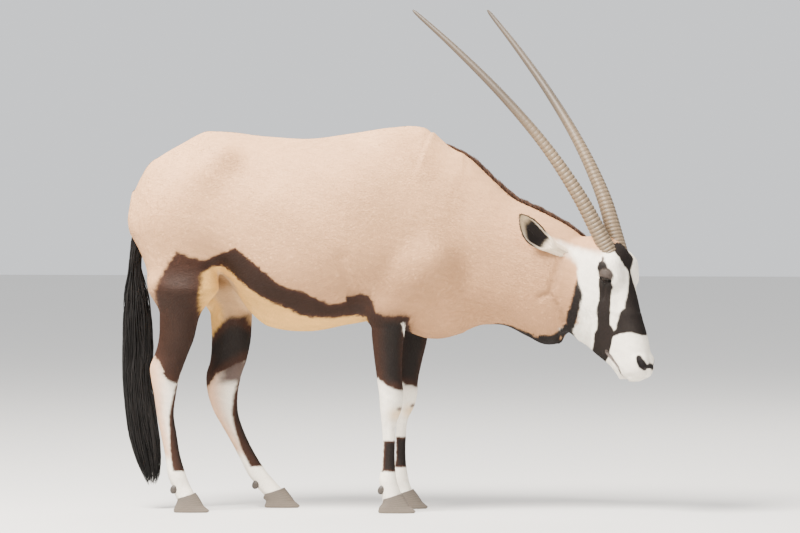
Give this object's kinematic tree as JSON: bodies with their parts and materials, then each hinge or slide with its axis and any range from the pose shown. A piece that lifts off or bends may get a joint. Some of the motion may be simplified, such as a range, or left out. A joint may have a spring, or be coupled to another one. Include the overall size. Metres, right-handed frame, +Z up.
{
  "type": "gemsbok",
  "caption": "Still life-size standing antelope feeding with its head lowered and turned, with long ringed horns swept back, dark face, flank and leg markings and a long dark tail.",
  "frame": {"origin": "middle of the whole animal's length and width, at the ground under the hooves", "axes": "+X points the way the animal's body faces, +Y to its left side, +Z up"},
  "size_m": [1.6658, 0.6456, 1.554],
  "materials": {
    "coat": "short smooth coat, fawn with dark and white markings",
    "dark_hair": "long coarse black hair",
    "horn": "dull ringed horn, smoother and darker towards the tip",
    "hoof": "dull grey-brown horn with fine growth lines",
    "eye": "wet, glossy, very dark brown"
  },
  "bodies": {
    "root": {"head": "coat", "neck": "coat", "torso": "coat", "tail": "dark_hair", "ear_left": "coat", "ear_right": "coat", "eye_left": "eye", "eye_right": "eye", "horn_left": "horn", "horn_right": "horn", "foreleg_left_upper": "coat", "foreleg_left_lower": "coat", "foreleg_left_claw_inner": "hoof", "foreleg_left_claw_outer": "hoof", "foreleg_left_dewclaw_inner": "hoof", "foreleg_left_dewclaw_outer": "hoof", "foreleg_right_upper": "coat", "foreleg_right_lower": "coat", "foreleg_right_claw_inner": "hoof", "foreleg_right_claw_outer": "hoof", "foreleg_right_dewclaw_inner": "hoof", "foreleg_right_dewclaw_outer": "hoof", "hindleg_left_upper": "coat", "hindleg_left_lower": "coat", "hindleg_left_claw_inner": "hoof", "hindleg_left_claw_outer": "hoof", "hindleg_left_dewclaw_inner": "hoof", "hindleg_left_dewclaw_outer": "hoof", "hindleg_right_upper": "coat", "hindleg_right_lower": "coat", "hindleg_right_claw_inner": "hoof", "hindleg_right_claw_outer": "hoof", "hindleg_right_dewclaw_inner": "hoof", "hindleg_right_dewclaw_outer": "hoof"}
  },
  "joints": []
}
